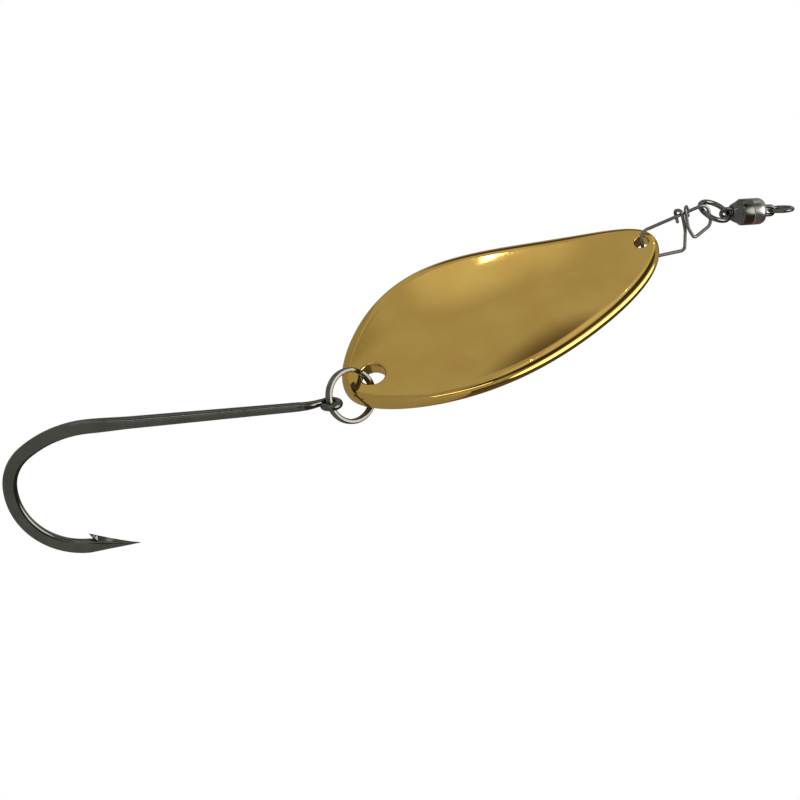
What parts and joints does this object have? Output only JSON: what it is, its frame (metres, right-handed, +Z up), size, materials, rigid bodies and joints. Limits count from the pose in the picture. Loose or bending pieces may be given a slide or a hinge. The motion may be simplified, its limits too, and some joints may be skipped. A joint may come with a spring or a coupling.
{
  "type": "spoon lure",
  "caption": "Spoon fishing lure: dished gold blade with a split ring and single barbed hook at the tail, and a locking wire snap and ball-bearing swivel at the front.",
  "frame": {"origin": "centre of the line ring, which the lure hangs from", "axes": "+Z up along the hanging lure, from the hook to the line ring; +X towards the side that the hook's point is on; +Y completes the frame"},
  "size_m": [0.025, 0.0273, 0.1379],
  "materials": {
    "gold_plate": "polished gold plate on brass",
    "black_nickel": "bright black nickel plate",
    "satin_nickel": "satin nickel plate",
    "spring_wire": "drawn spring wire, dark nickel plate",
    "forged_black_nickel": "forged steel, black nickel plate",
    "bearing_steel": "ground and polished"
  },
  "bodies": {
    "line_ring": {"line_ring": "black_nickel"},
    "housing": {"end_shell": "satin_nickel", "nose_shell": "black_nickel", "fixed_loop": "black_nickel", "lower_race": "bearing_steel"},
    "rotating_side": {"rotating_loop": "black_nickel", "upper_race": "bearing_steel", "shank_collar": "bearing_steel"},
    "ball_set": {"bearing_ball_1": "bearing_steel", "bearing_ball_2": "bearing_steel", "bearing_ball_3": "bearing_steel", "bearing_ball_4": "bearing_steel", "bearing_ball_5": "bearing_steel", "bearing_ball_6": "bearing_steel", "bearing_ball_7": "bearing_steel", "bearing_ball_8": "bearing_steel"},
    "snap_ring": {"snap_ring": "black_nickel"},
    "snap": {"snap": "spring_wire"},
    "blade": {"blade": "gold_plate"},
    "split_ring": {"split_ring": "black_nickel"},
    "hook": {"hook": "forged_black_nickel"}
  },
  "joints": [
    {"name": "housing_swing", "type": "hinge", "parent": "line_ring", "child": "housing", "pos_m": [-0.00039, 0.00016, -0.0019], "axis": [-0.1969, -0.9794, -0.0444], "range_deg": [-50, 50]},
    {"name": "swivel_spin", "type": "hinge", "parent": "housing", "child": "rotating_side", "pos_m": [-0.00069, 0.00028, -0.00308], "axis": [0.245, -0.093, 0.965], "continuous": true},
    {"name": "ball_orbit", "type": "hinge", "parent": "housing", "child": "ball_set", "pos_m": [-0.00069, 0.00028, -0.00308], "axis": [0.245, -0.093, 0.965], "continuous": true},
    {"name": "snap_ring_swing", "type": "hinge", "parent": "rotating_side", "child": "snap_ring", "pos_m": [-0.00253, 0.00098, -0.01032], "axis": [-0.8399, -0.3066, 0.4479], "range_deg": [-25, 15]},
    {"name": "snap_swing", "type": "hinge", "parent": "snap_ring", "child": "snap", "pos_m": [-0.00436, 0.00004, -0.01379], "axis": [0.4, -0.9074, 0.129], "range_deg": [-35, 35]},
    {"name": "blade_swing", "type": "hinge", "parent": "snap", "child": "blade", "pos_m": [-0.00228, -0.00023, -0.0255], "axis": [-0.9841, 0.1567, 0.0831], "range_deg": [-8, 35]},
    {"name": "split_ring_swing", "type": "hinge", "parent": "blade", "child": "split_ring", "pos_m": [0.00174, -0.00524, -0.07945], "axis": [-0.2803, -0.913, 0.2963], "range_deg": [0, 15]},
    {"name": "hook_swing", "type": "hinge", "parent": "split_ring", "child": "hook", "pos_m": [0.00135, -0.00779, -0.08442], "axis": [0.9872, 0.0027, -0.1592], "range_deg": [-50, 50]}
  ],
  "couplings": [
    {"joint": "ball_orbit", "follows": "swivel_spin", "ratio": 0.5}
  ]
}
